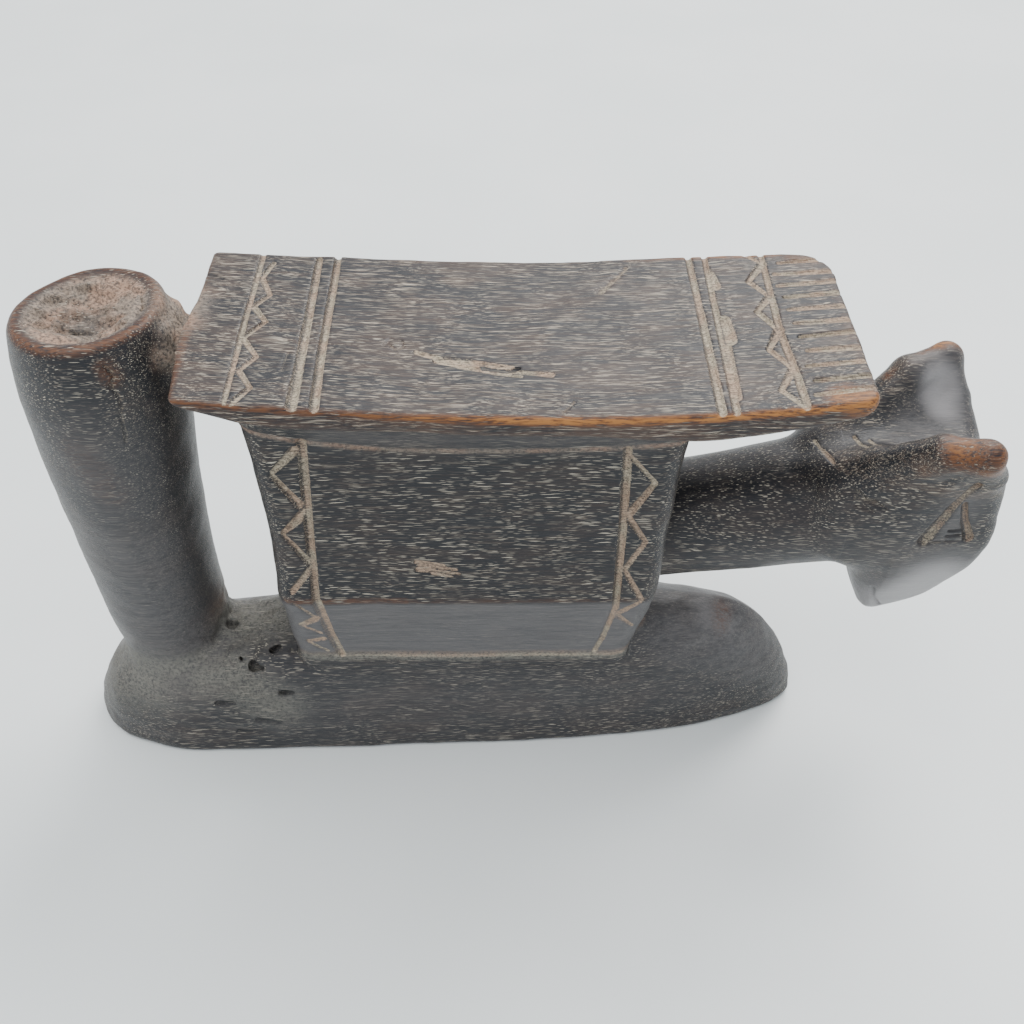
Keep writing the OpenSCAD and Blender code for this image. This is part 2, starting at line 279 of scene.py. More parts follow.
def moulding_solid(g):
    rise = g.z - crease_under_rest(g.x)
    flare = 0.5 * np.maximum(rise, 0)
    sides = np.abs(g.y) - BLOCK_HIGH.y - flare
    ends = np.maximum(block_left(g.z) - 0.25 * flare - g.x, g.x - block_right(g.z) - 0.25 * flare)
    tall = np.maximum(-rise, g.z - rest_under(g.x) - 2)
    return np.maximum(blend_max(sides, ends, 5.5) * 0.9, tall)


# ---- Support block ----
FOLD_Z = BLOCK_HIGH.z - 50
CREASE_Z = BLOCK_LOW.z


def block_left(z):
    return profile(z, [(36, -56.6), (46, -57.2), (58, -58), (66, -58.6), (88, -58.3), (106, -59.4),
                       (118, -60.6), (126, -61.2)])


def block_right(z):
    return profile(z, [(36, 33.6), (44, 34.2), (52, 35.6), (60, 37.4), (68, 38.4), (90, 39),
                       (108, 40), (118, 41.2), (126, 42.4)])


def block_half(z):
    """Half the block's depth at a height: it draws in below the fold."""
    lower = BLOCK_HIGH.y - 4
    return np.interp(z, [CREASE_Z, FOLD_Z], [lower, BLOCK_HIGH.y]).astype(np.float32)


def block_solid(g):
    sides = np.abs(g.y) - block_half(g.z)
    ends = np.maximum(block_left(g.z) - g.x, g.x - block_right(g.z))
    tall = np.maximum(CREASE_Z - 4 - g.z, g.z - crease_under_rest(g.x) - 3)
    return np.maximum(blend_max(sides, ends, 6), tall)


# ---- Base ----
BASE_PLAN = np.vstack([
    curve([(-120.3, -1.5), (-117.6, -8), (-112, -14), (-105, -17.4), (-94, -20), (-80, -20.6), (-56, -20),
           (-28, -19.2), (0, -18.3), (28, -16.4), (44, -14.8), (59, -12), (77, -6.4), (86, 0), (87.4, 3.5)]),
    curve([(87.4, 3.5), (84, 10.5), (74, 14.5), (58, 16.8), (30, 18.4), (-10, 19.6), (-60, 20.4),
           (-95, 20), (-108, 16.5), (-117, 8.5), (-120.3, -1.5)])])
BASE_SIDE = np.vstack([
    curve([(-120.3, 2), (-119, 9), (-115.8, 16.5), (-111.8, 22.5), (-104, 27.5), (-92, 31.5),
           (-78, 34.8), (-66, 36.2), (-57, 36.8)]),
    curve([(-50, 44), (-20, 46), (24, 46), (36, 45.6), (47, 44.8), (56, 43.4), (66, 40.2), (75, 33.6),
           (82, 23.5), (86.4, 12), (87.6, 2)]),
    [(87.4, -20), (-120.3, -20)]])


def base_solid(g):
    lean = 0.03 * np.maximum(g.z - 4, 0)
    plan = outline_distance(g.x, g.y, BASE_PLAN) + lean
    behind = np.maximum(g.y + 4, 0)
    side = outline_distance(g.x, g.z + 0.015 * behind ** 2, BASE_SIDE)
    shoulder = 2.5 + (9 + 5 * step_up(-g.x, 56, 72) + 9 * step_up(g.x, 26, 48)) * step_up(g.z, 4, 34)
    return blend_max(blend_max(plan, side, shoulder), -g.z, 2.2)


# ---- Rear post ----
POST_TILT = 0.085
POST_RIM = POST_HIGH.z - 1


def post_middle(z):
    """X of the post's axis at a height."""
    return profile(z, [(10, -92.2), (30, -92.6), (44, -94), (62, -95.1), (80, -95.6), (100, -95.7),
                       (142, -95.2)])


def post_radius(z):
    return profile(z, [(10, 14.8), (30, 14.8), (44, 15.6), (62, 16.3), (80, 17.1), (96, 18.2),
                       (109, 19), (120, 19.3), (130, 18.6), (138, 17.4), (142, 16.6)])


def post_solid(g):
    from_axis = np.hypot(g.x - post_middle(g.z), g.y)
    tall = g.z - POST_RIM - POST_TILT * (g.x - post_middle(POST_RIM))
    body = blend_max(from_axis - post_radius(g.z), tall, 2.2)
    return np.maximum(body, 14 - g.z)


def dish_depth(g):
    """How deep the post's dish is below its rim: a scraped bowl, deepest right of its middle."""
    x = (g.x - post_middle(POST_RIM) + 0.2) / 14.4
    y = (g.y - 0.2) / 14.6
    return 6.2 * np.clip(1 - (x * x + y * y) ** 0.75, -0.2, 1)


def hollow_dish(field, g):
    floor = POST_RIM + POST_TILT * (g.x - post_middle(POST_RIM)) - dish_depth(g)
    rough = 0.45 * noise(g, (1.1, 0.9, 3), 21) + 0.8 * noise(g, (4.5, 1.5, 3), 22)
    within = 1 - step_up(np.hypot(g.x - post_middle(POST_RIM) + 0.3, g.y), 11, 14.5)
    return blend_max(field, (g.z - floor) * 0.85 - rough * within, 1.2)


# ---- Bridge from post to rest ----
def bridge_solid(g):
    top = 135.4 - 0.3 * (g.x + 80) - 0.05 * g.y - 2.4 * step_up(g.x, -77.5, -75.5)
    under = 120.5 + 0.3 * np.abs(g.x + 79) + 0.16 * np.abs(g.y)
    tall = blend_max(g.z - top, under - g.z, 3)
    wide = np.abs(g.y - 1.2) - 8.2 - 0.2 * np.abs(g.x + 76)
    long = np.maximum(-92 - g.x, g.x + 71)
    return np.maximum(blend_max(tall, wide, 3), long) + 0.6 * noise(g, (3, 2.4, 2.4), 31)


# ---- Neck, head, muzzle and ears ----
NECK_ROOT = (28, 0, 70.8)
NECK_END = (92, 0, 82.6)
HEAD_SPLIT_AT = (105.5, 71.8)
HEAD_SPLIT_RUN = (29, 26.5)


def neck_solid(g):
    return limb(g, NECK_ROOT, NECK_END, 14.2, 17.3)


def skull_solid(g):
    """Head and muzzle: a wedge with soft edges that narrows to the chin and into the neck."""
    face = profile(g.z, [(42, 104), (47, 108), (51, 112.2), (55.5, 115.3), (62, 118.2), (70, 122),
                         (80, 123.4), (90, 121.8), (104, 117.6)])
    throat = profile(g.z, [(42, 97.6), (47, 96.6), (54, 94.2), (60, 92), (65, 89.5), (72, 84),
                           (80, 78), (104, 76)])
    half = profile(g.z, [(42, 8), (48, 9.6), (54, 11.4), (62, 14.3), (72, 16.9), (82, 17.8), (92, 17.8),
                         (104, 15.6)])
    behind = np.maximum(98 - g.x, 0)
    narrow = 0.1 * np.maximum(g.x - 100, 0) + (0.1 + 0.45 * (1 - step_up(g.z, 58, 74))) * behind
    ends = np.maximum(throat - g.x, g.x - face)
    sides = np.abs(g.y) - half + narrow
    chin = 45.9 + 0.42 * (g.x - 98) - g.z
    crown = g.z - 100.6 + 0.06 * np.abs(g.x - 100) + 0.12 * behind
    return blend_max(blend_max(ends, sides, 5), blend_max(chin, crown, 1), 4.5)


def ear_solid(g, side):
    """A full leaf from the neck's top to a blunt tip, with its front edge down to the forehead."""
    tip_x = 111.4 + 0.6 * side
    rim = [((79, side * 6, 92), 4), ((90.5, side * 10.2, 100), 4.4), ((102, side * 16, 108.5), 4.6),
           ((tip_x, side * 19.6, 110.7), 4), ((114.8, side * 15.4, 102), 3.8), ((116.8, side * 10, 92), 3.4)]
    cheek = (99, side * 9.5, 92)
    leaf = None
    for (a, ra), (b, rb) in zip(rim, rim[1:]):
        edge = blend_min(limb(g, a, b, ra, rb), plate(g, a, b, cheek, min(ra, rb) - 0.6), 1.5)
        leaf = edge if leaf is None else blend_min(leaf, edge, 1.5)
    return leaf


def left_ear_solid(g):
    return ear_solid(g, BACK)


def right_ear_solid(g):
    return ear_solid(g, FRONT)


def above_split(g):
    """Distance above the plane that parts the head from the muzzle."""
    run = np.array(HEAD_SPLIT_RUN) / np.hypot(*HEAD_SPLIT_RUN)
    return (g.z - HEAD_SPLIT_AT[1]) * run[0] - (g.x - HEAD_SPLIT_AT[0]) * run[1]


# ---- The whole carving ----
SOLIDS = {
    "base": base_solid, "support_block": block_solid, "rest_moulding": moulding_solid,
    "neck_rest": rest_solid, "rear_post": post_solid, "post_bridge": bridge_solid,
    "animal_neck": neck_solid, "skull": skull_solid,
    "left_ear": left_ear_solid, "right_ear": right_ear_solid}
# Fillet where each solid meets the ones named before it, in millimetres
FILLETS = {"support_block": 1.2, "rest_moulding": 0.9, "neck_rest": 0.8, "rear_post": 4.5, "post_bridge": 3,
           "animal_neck": 1.6, "skull": 4, "left_ear": 6, "right_ear": 6}
NEIGHBOURS = {
    "base": ["support_block", "rear_post"],
    "support_block": ["base", "rest_moulding", "animal_neck"],
    "rest_moulding": ["support_block", "neck_rest"],
    "neck_rest": ["rest_moulding", "post_bridge", "rear_post"],
    "rear_post": ["base", "post_bridge"],
    "post_bridge": ["rear_post", "neck_rest"],
    "animal_neck": ["support_block", "skull", "left_ear", "right_ear"],
    "animal_head": ["skull", "animal_neck", "left_ear", "right_ear"],
    "muzzle": ["skull", "animal_neck"],
    "left_ear": ["skull", "animal_neck", "right_ear"],
    "right_ear": ["skull", "animal_neck", "left_ear"]}


def tool_marks(g):
    """How the knife left the surface: long soft facets and fine ridges along the grain."""
    ribs = 0.1 * noise(g, (22, 1.5, 1.5), 15) * step_up(-g.z, -60, -30)
    return 0.16 * noise(g, (9, 6, 6), 11) + 0.05 * noise(g, (3.2, 1.6, 1.6), 12) + ribs


def rough_work(g):
    """Ragged wood on the left of the base, at the bridge and a little on the mound."""
    rough = (0.9 * bump(g, (-70, -2, 36), (16, 20, 9)) + 0.5 * bump(g, (-72, -20, 20), (16, 8, 12))
             + 0.25 * bump(g, (-104, -8, 24), (18, 16, 12)) + 0.6 * bump(g, (-78, 0, 128), (5, 12, 9))
             + 0.22 * bump(g, (50, -6, 40), (22, 16, 12)))
    return rough * (0.75 * noise(g, (4.5, 3, 3), 13) + 0.3 * noise(g, (1.6, 1.2, 1.2), 14))


def join(solids):
    """One field of several solids, each joined to those before it with its fillet."""
    joined = None
    for name, solid in solids.items():
        joined = solid if joined is None else blend_min(joined, solid, FILLETS[name])
    return joined


def carving(g, names):
    """The field of the solids named."""
    return join({name: SOLIDS[name](g) for name in SOLIDS if name in names})


# ---- Knife cuts ----
CUT_DEEPER = 1.25


def cap(width, depth):
    """Radius of the round cutter, and its height above the wood, that leave such a groove."""
    radius = (width * width / 4 + depth * depth) / (2 * depth)
    return radius, radius - depth


class Cut:
    """Round-ended cutters taken out of the wood, and how pale (or, below 0, dark) they leave it."""

    def __init__(self, parts, pale):
        self.parts = parts
        self.pale = pale


def groove(points, up, widths=(1.8, 1.8), depth=0.75, pale=1.0):
    """A cut along a line of points on the wood, with a width at each end and a depth."""
    parts = []
    up = np.array(up, float)
    shares = np.linspace(0, 1, len(points))
    sizes = [widths[0] + (widths[1] - widths[0]) * t for t in shares]
    for (p, wp), (q, wq) in zip(zip(points, sizes), zip(points[1:], sizes[1:])):
        (rp, hp), (rq, hq) = cap(wp, CUT_DEEPER * depth), cap(wq, CUT_DEEPER * depth)
        parts.append((np.array(p) + up * hp, np.array(q) + up * hq, rp, rq))
    return Cut(parts, pale)


def on_rest(x, y):
    return (x, y, float(rest_top(np.float32(x), np.float32(y))))


def on_block(x, z, side=FRONT):
    return (x, side * float(block_half(np.float32(z))), z)


def rest_cuts():
    """Two zigzags, two pairs of lines and a fringe across the rest, with its old gouges."""
    cuts = []
    up = (0, 0, 1)

    def line(places, widths=(1.8, 1.8), depth=0.7, pale=1.0):
        cuts.append(groove([on_rest(*p) for p in places], up, widths, depth, pale))

    line([(-60.9, -30), (-60.6, 0), (-60.1, 30)], (1.1, 1.3), 0.5)
    feet = [(-59.8, -29.6), (-59.5, -17.5), (-60.3, -5.8), (-59.6, 6.8), (-59.2, 19)]
    tips = [(-56.2, -23.4), (-56.4, -12), (-56, 1), (-56.4, 12), (-57.2, 25.6)]
    for i, (foot, tip) in enumerate(zip(feet, tips)):
        line([foot, tip], (2.0 if i == 0 else 1.5, 1.1), 0.55)
        if i + 1 < len(feet):
            line([tip, feet[i + 1]], (1.0, 1.5), 0.5)
    line([(-46.9, -30), (-46.4, 28.5)], (2.5, 1.5), 0.7)
    line([(-42.2, -29.2), (-42.4, -10), (-41.9, 29.5)], (2.1, 1.5), 0.75)

    line([(44.6, -29), (44.5, 5), (44.3, 30)], (2.0, 1.4), 0.6)
    line([(47.7, -29), (48.3, 30)], (1.6, 1.2), 0.6)
    line([(48.2, -24), (48.8, -6)], (2.6, 2.0), 0.6)
    line([(49.4, -4.2), (49.2, 3.4)], (3.6, 3.0), 0.6)
    line([(49.2, 16.8), (48.8, 22.5)], (2.6, 2.0), 0.45)
    line([(62.5, -29.6), (62.2, -16), (61.4, -2.6), (61.8, 12), (62.2, 30)], (1.8, 1.3), 0.6)
    feet = [(62.2, -29), (61.9, -15.6), (61.2, -1.6), (61.4, 12), (61.8, 25.5)]
    tips = [(58.1, -22.7), (57.9, -8.4), (57.5, 6), (57.4, 18.4)]
    for i, tip in enumerate(tips):
        line([feet[i], tip], (1.3, 1.3), 0.45)
        line([tip, feet[i + 1]], (1.0, 2.4), 0.6)
    line([(58.1, 30), (61.4, 26.4)], (1.0, 1.0), 0.35)

    draws = np.random.default_rng(5)
    for y in (25.6, 20.8, 16, 11.2, 6, 0.6, -4.8, -10, -15.4, -20.6, -25.4):
        start = 64.2 + draws.uniform(-0.4, 2.2)
        sway = draws.uniform(-0.6, 0.6)
        line([(start, y), (REST_HIGH.x + 1, y + sway)], (1.1, draws.uniform(1.6, 2.4)),
             draws.uniform(0.4, 0.7), 0.85)

    line([(-21.5, -7.6), (-15, -10.2), (-7, -11), (0, -12.4)], (1.4, 1.6), 0.5)
    line([(-17, -10.6), (-9, -12.6), (-1, -14)], (1.3, 2.0), 0.6)
    line([(-12, -12.6), (-4, -14.6), (2, -15.4)], (0.8, 0.8), 0.4, 0.8)
    line([(-2, -13.4), (4, -14), (8.6, -14.6)], (1.0, 1.9), 0.5, 0.9)
    line([(-6.5, -12.2), (-1, -13), (1.6, -12.4)], (0.6, 0.5), 0.7, -0.7)
    line([(-15, -9.2), (-9, -9.8)], (0.5, 0.5), 0.3, 0.5)
    line([(-28.6, -5.4), (-27.4, -3), (-25, -3.4), (-24.4, -5.6), (-26.4, -6.8), (-27.6, -5.2)], (0.8, 0.6),
         0.25, 0.4)
    line([(21.4, 16.6), (28.4, 25.8)], (2.4, 1.4), 0.25, 0.6)
    line([(-50.4, -16.5), (-49.7, -9.6)], (0.7, 0.5), 0.2, 0.5)
    line([(-73, 19.6), (-68, 17.6)], (1.2, 0.9), 0.4, -0.7)
    line([(-66, 13.2), (-63.2, 13.6)], (0.9, 0.7), 0.3, -0.5)
    line([(10.6, -27.4), (13.2, -24.2)], (1.1, 0.7), 0.2, 0.5)
    return cuts


def block_cuts(side):
    """The bands down one face of the block: a line each, with teeth that point to the ends."""
    cuts = []
    up = (0, side, 0)

    def line(places, widths=(1.8, 1.8), depth=0.7):
        cuts.append(groove([on_block(x, z, side) for x, z in places], up, widths, depth))

    line([(-46.9, 118.5), (-47.8, 92), (-48.5, FOLD_Z + 0.7)], (2.3, 1.9), 0.8)
    line([(-48.4, FOLD_Z), (-46.6, 52), (-44.4, 41)], (2.6, 2.4), 0.8)
    line([(26.2, 116), (27, 90), (27.4, 62.4)], (2.0, 1.7), 0.75)
    line([(27.2, 62), (25.2, 49), (23.4, 42)], (1.5, 1.1), 0.7)
    line([(-48.8, 115.5), (-54.5, 109)], (2.6, 0.9))
    line([(-54.5, 108), (-49.2, 99)], (1.2, 2.4))
    line([(-48.4, 96.6), (-54.1, 90)], (2.6, 0.9))
    line([(-54.1, 89.4), (-48.4, 79)], (0.9, 2.0))
    line([(-48.6, 78), (-54.2, 69.4)], (1.6, 1.5))
    line([(-54, 65.2), (-49.5, 58.7)], (0.8, 0.9), 0.5)
    line([(-49.4, 58), (-53.8, 55)], (2.4, 0.7), 0.7)
    line([(-53.6, 55), (-48.6, 51.5)], (0.5, 0.7), 0.4)
    line([(-48.4, 48.8), (-52.7, 47.6)], (1.6, 0.7), 0.6)
    line([(-52.7, 47.4), (-47.9, 43)], (0.7, 0.8), 0.5)
    line([(27.2, 113.6), (33.3, 105.8)], (0.8, 1.2), 0.55)
    line([(33.3, 105.6), (27.9, 96)], (1.1, 2.2))
    line([(28, 95), (32.7, 86.8)], (1.8, 1.2))
    line([(32.7, 86.4), (28.6, 77.4)], (1.2, 1.5), 0.6)
    line([(28.4, 77), (33.7, 66)], (1.4, 1.6), 0.7)
    line([(33.6, 65.2), (28, 60)], (0.9, 1.6), 0.6)
    line([(28.2, 59), (32.4, 54.4)], (1.9, 0.8), 0.6)
    return cuts


def block_scars():
    """Old damage on the block's front: a pale chip, and nicks along the crease above it."""
    cuts = []
    for places, widths, depth, pale in (
            ([(-22.9, 80.3), (-16, 79)], (1.2, 0.6), 0.3, 1.0),
            ([(-22, 79), (-13, 77.4)], (1.5, 0.7), 0.35, 1.0),
            ([(-22.6, 77.6), (-12.2, 76)], (1.3, 0.6), 0.3, 0.9),
            ([(-19, 76.2), (-14, 75)], (0.9, 0.4), 0.25, 0.8),
            ([(-40, 117.6), (-28, 115.8)], (1.1, 0.9), 0.3, 0.45)):
        cuts.append(groove([on_block(x, z) for x, z in places], (0, FRONT, 0), widths, depth, pale))
    return cuts


HEAD_GROUP = ["animal_neck", "skull", "left_ear", "right_ear"]


def on_head(x, z, side=FRONT):
    """The place on the head's side at this X and Z."""
    ys = side * np.arange(26, 2, -0.1)
    line = at_points([(x, y, z) for y in ys])
    inside = carving(line, HEAD_GROUP) < 0
    return (x, float(ys[np.argmax(inside)]) if inside.any() else side * 8.0, z)


def on_head_top(x, y):
    """The place on top of the neck or head at this X and Y."""
    zs = np.arange(115, 60, -0.1)
    inside = carving(at_points([(x, y, z) for z in zs]), HEAD_GROUP) < 0
    return (x, y, float(zs[np.argmax(inside)]))


def head_cuts(side):
    """Eye, mouth and scratches on one side of the head."""
    cuts = []
    up = (0.25, side * 0.95, 0.1)

    def line(places, widths, depth=0.6, pale=1.0):
        cuts.append(groove([on_head(x, z, side) for x, z in places], up, widths, depth, pale))

    line([(111.4, 102), (107.6, 92), (103.6, 81.6)], (1.4, 3.8), 1.0, 0.6)
    line([(110.8, 94), (112.4, 88), (115.2, 81.4)], (0.8, 2.8), 1.0, 0.65)
    line([(104.8, 81), (114.2, 80.6)], (0.7, 0.6), 0.3, 0.3)
    line([(109.4, 84.6), (112.4, 84.6)], (0.8, 0.6), 0.5, -0.4)
    line([(109.2, 82.8), (112.6, 82.8)], (0.8, 0.6), 0.5, -0.4)
    line([(103.4, 48.8), (107.6, 50.4), (112, 53.6)], (0.8, 1.8), 1.0, -0.35)
    line([(96.5, 60), (98, 55), (101, 51)], (1.2, 0.8), 0.4, -0.2)
    line([(101.6, 81.6), (104, 81.4)], (0.7, 0.5), 0.3, 0.5)
    return cuts


def neck_scratches():
    """Short bruises across the neck's top and a wide one on its side."""
    cuts = []
    for x, y0, y1, width in ((77, 2, -8, 0.9), (78.4, -2, -7, 0.6), (86.4, 1, -6, 0.9), (89.6, -1, -7, 0.8)):
        places = [on_head_top(x + 0.25 * (y0 - y), y) for y in (y0, (y0 + y1) / 2, y1)]
        cuts.append(groove(places, (0, -0.4, 0.9), (width, width * 0.8), 0.3, 0.9))
    for x, z, length, pale in ((82, 97, 4, 0.35), (83.5, 95.2, 6, 0.45), (84.5, 93.2, 4, 0.3),
                               (88, 94, 3.5, 0.35)):
        places = [on_head(x, z), on_head(x + length, z - 1.6)]
        cuts.append(groove(places, (0, -0.9, 0.4), (1.6, 0.8), 0.25, pale))
    return cuts


def post_crack():
    """A ragged open check down the front of the post."""
    draws = np.random.default_rng(8)
    places = []
    for z in np.arange(134, 112, -2.6):
        angle = math.radians(-66 + (134 - z) * 0.16) + draws.uniform(-0.06, 0.06)
        radius = float(post_radius(np.float32(z)))
        middle = float(post_middle(np.float32(z)))
        places.append((middle + radius * math.cos(angle), radius * math.sin(angle), z))
    up = (math.cos(math.radians(-64)), math.sin(math.radians(-64)), 0)
    return [groove(places, up, (0.9, 0.5), 0.4, 0.5)]


def base_gouges():
    """Holes and hollows in the base between the post and the block."""
    cuts = []
    for a, b, radius in (
            ((-68, 6, 36.6), (-66, 8, 36.6), 1.4), ((-63.2, 2.5, 37.4), (-62.4, 3.4, 37.2), 1.3),
            ((-77, -3.6, 35.4), (-76, -3, 35.4), 1.6), ((-69.4, -14.8, 31.6), (-65.4, -15.4, 31.8), 1.7),
            ((-64, -12.6, 34.4), (-62.6, -11.4, 35), 1.5), ((-73, -13.4, 32.2), (-71.6, -13, 32.6), 1.2),
            ((-62, -18.8, 25), (-59.6, -19.4, 25), 1.3), ((-80, -19.8, 21), (-76, -20.2, 21), 1.1),
            ((-70, -20.6, 14), (-64, -20.6, 13), 1.2), ((-76, -21, 9), (-69, -21, 9), 1.2)):
        cuts.append(Cut([(np.array(a), np.array(b), radius, radius * 0.7)], -0.7))
    return cuts


CUTS = (rest_cuts() + block_cuts(FRONT) + block_cuts(BACK) + block_scars() + head_cuts(FRONT)
        + head_cuts(BACK) + neck_scratches() + post_crack() + base_gouges())


def cut_away(field, g):
    """Takes every knife cut out of the field, each within its own window."""
    for cut in CUTS:
        for a, b, ra, rb in cut.parts:
            reach = max(ra, rb) + 1.2
            window = g.window(np.minimum(a, b) - reach, np.maximum(a, b) + reach)
            if window is not None:
                cutter = limb(g.part(window), a, b, ra, rb)
                field[window] = blend_max(field[window], -cutter, 0.3)
    return field


# ---- Pieces ----
SEAM_TONGUE = 1.4
SEAM_DIVE = 0.25
STEPS = {"neck_rest": 0.36, "post_bridge": 0.36, "left_ear": 0.36, "right_ear": 0.36, "muzzle": 0.4,
         "animal_head": 0.4, "animal_neck": 0.42, "rest_moulding": 0.45, "rear_post": 0.45,
         "support_block": 0.46, "base": 0.48}


def solid_of(piece):
    """The name of the solid that a piece is cut from."""
    return "skull" if piece in ("animal_head", "muzzle") else piece


def beyond_own_wood(g, name, solids):
    """Distance past a piece's own part of the carving, into its neighbours'."""
    own = solid_of(name)
    others = [solids[n] for n in solids if n != own]
    past = (solids[own] - np.minimum.reduce([np.broadcast_to(o, solids[own].shape) for o in others])) / 2
    if name == "animal_head":
        past = np.maximum(past, -above_split(g))
    if name == "muzzle":
        past = np.maximum(past, above_split(g))
    return past


def piece_field(g, name):
    """The carving where it is this piece's. Past a seam it dives under the neighbour's surface."""
    solids = {n: SOLIDS[n](g) for n in SOLIDS if n == solid_of(name) or n in NEIGHBOURS[name]}
    past = beyond_own_wood(g, name, solids)
    wood = join(solids) + tool_marks(g)
    if name == "rear_post":
        wood = hollow_dish(wood, g)
    wood = cut_away(np.array(wood, np.float32), g) + rough_work(g)
    return np.maximum(wood + SEAM_DIVE * np.maximum(past, 0) ** 2, past - SEAM_TONGUE)


def piece_box(name):
    """Room around a CAD node for the piece that stands for it."""
    low, high = box_mm(name)
    return low - Vector((4, 3, 3)), high + Vector((4, 3, 7))


def largest_island(points, faces):
    """Keeps the biggest connected part of a mesh."""
    label = np.arange(len(points))
    while True:
        lowest = label[faces].min(axis=1)
        new = label.copy()
        for corner in range(faces.shape[1]):
            np.minimum.at(new, faces[:, corner], lowest)
        new = new[new]
        if np.array_equal(new, label):
            break
        label = new
    biggest = np.bincount(label).argmax()
    kept = label == biggest
    renumber = np.cumsum(kept) - 1
    return points[kept], renumber[faces[kept[faces[:, 0]]]]


def mesh_piece(name):
    """Meshes a piece's field and gives it its wear marks."""
    low, high = piece_box(name)
    step = STEPS[name] * 1
    g = Grid(low, high, step)
    field = piece_field(g, name)
    limit = 3 * step
    field = np.clip(np.broadcast_to(field, (g.x.size, g.y.size, g.z.size)), -limit, limit)
    volume = openvdb.FloatGrid(limit)
    volume.copyFromArray(np.ascontiguousarray(field, np.float32))
    points, _, quads = volume.convertToPolygons(isovalue=0.0, adaptivity=0.0)
    points = (points + np.array(g.first)) * step
    points, quads = largest_island(points, quads.astype(np.int64))
    mesh = bpy.data.meshes.new(name + "_wood")
    mesh.vertices.add(len(points))
    mesh.vertices.foreach_set("co", (points * MM).astype(np.float32).ravel())
    mesh.loops.add(quads.size)
    mesh.loops.foreach_set("vertex_index", quads.astype(np.int32).ravel())
    mesh.polygons.add(len(quads))
    mesh.polygons.foreach_set("loop_start", np.arange(0, quads.size, 4, dtype=np.int32))
    mesh.polygons.foreach_set("use_smooth", np.ones(len(quads), bool))
    mesh.update(calc_edges=True)
    mesh.validate()
    for label, values in wear(points).items():
        attribute = mesh.attributes.new(label, "FLOAT", "POINT")
        attribute.data.foreach_set("value", values.astype(np.float32))
    piece = bpy.data.objects.new(name + "_carved", mesh)
    bpy.context.scene.collection.objects.link(piece)
    return piece


# ---- Wear: where the wood is pale, honey brown or dusty ----
def near(points, a, b, radius, soft=0.5):
    """1 on the line from a to b, falling to 0 at a radius from it."""
    gap = limb(at_points(points), a, b, 0, 0)
    return 1 - step_up(gap, radius * (1 - soft), radius * (1 + soft))


def shaded_left_wall(points, a, b):
    """1 on the wall of a cut that faces right, which keeps less of its pale colour as painted shade, and 0
    on the other.
    """
    run = b - a
    t = np.clip((points - a) @ run / max(run @ run, 1e-9), 0, 1)
    return 1 - step_up(points[:, 0] - a[0] - t * run[0], -0.5, 0.1)


def pale_marks(points):
    """Fresh wood and buff dirt in the knife cuts, with painted shade on the wall left of each cut's line.
    Negative where a hole is dark.
    """
    low, high = points.min(0) - 4, points.max(0) + 4
    pale = 0.6 * near(points, (-46, -19.6, CREASE_Z + 0.4), (33, -18.4, CREASE_Z + 0.6), 0.9)
    for cut in CUTS:
        for a, b, ra, rb in cut.parts:
            if (np.minimum(a, b) > high).any() or (np.maximum(a, b) < low).any():
                continue
            gap = limb(at_points(points), a, b, ra, rb)
            # Painted shade: the wall left of the cut's line keeps only 45% of the mark.
            mark = cut.pale * (1 - step_up(gap, 0.0, 0.3)) * (1 - 0.55 * shaded_left_wall(points, a, b))
            pale = np.where(np.abs(mark) > np.abs(pale), mark, pale)
    return pale


def rest_edge(points):
    """How near the rest's long arrises are, weighted by how worn each stretch is."""
    x, y, z = points.T
    top = rest_top(x, y)
    front = np.exp(-(((y - REST_LOW.y) / 1.2) ** 2 + ((z - top + 0.9) / 1.2) ** 2))
    front *= 0.46 + 0.46 * step_up(x, -45, 10)
    face = 0.2 * np.exp(-((y - REST_LOW.y) / 1.4) ** 2) * step_up(top - z, 0.5, 1.5)
    back = 0.6 * np.exp(-(((y - REST_HIGH.y) / 1.4) ** 2 + ((z - top) / 1.2) ** 2))
    back *= 0.35 + 0.65 * step_up(x, 20, 50)
    right = 0.22 * np.exp(-(((x - REST_HIGH.x) / 2.6) ** 2 + ((z - top) / 2) ** 2))
    left = 0.35 * np.exp(-(((x - REST_LOW.x) / 1.4) ** 2 + ((z - top) / 2) ** 2))
    return np.maximum.reduce([front, face, back, right, left])


def honey_marks(points):
    """Where hands have worn the dark wood to honey brown."""
    g = at_points(points)
    rim_gap = np.hypot(g.x - post_middle(g.z), g.y) - post_radius(g.z)
    rim_level = g.z - POST_RIM - POST_TILT * (g.x - post_middle(POST_RIM))
    rim = 0.44 * np.exp(-((rim_gap + 1.3) / 1.9) ** 2 - ((rim_level + 0.6) / 1.5) ** 2)
    marks = [rest_edge(points), rim]
    for a, b, radius, strength in (
            ((71, -27, 134.2), (77, -29.5, 134.2), 4.2, 0.7), ((70, 28, 133.4), (75, 25.5, 132.8), 3, 0.5),
            ((114.5, 21, 113), (109, 21, 115), 2.6, 0.75), ((96, 14, 109), (108, 19.5, 114), 1.5, 0.4),
            ((115, -20.5, 111), (104, -18, 111.5), 4.4, 0.62),
            ((106, -20.5, 110), (98, -17, 106), 2.4, 0.4),
            ((114, -22, 108.5), (109.5, -23, 109), 2.0, 0.5),
            ((-58, -23, FOLD_Z), (-26, -23, FOLD_Z), 1.3, 0.34),
            ((-26, -23, FOLD_Z), (37, -23, FOLD_Z), 1, 0.22),
            ((62, -2, 41), (62, -14, 36), 4.5, 0.28),
            ((-99, -18, 112), (-94, -19, 98), 6, 0.17), ((-87, -17, 131), (-88, -17.5, 134), 3, 0.3)):
        marks.append(strength * near(points, a, b, radius, 0.7))
    return np.maximum.reduce(marks)


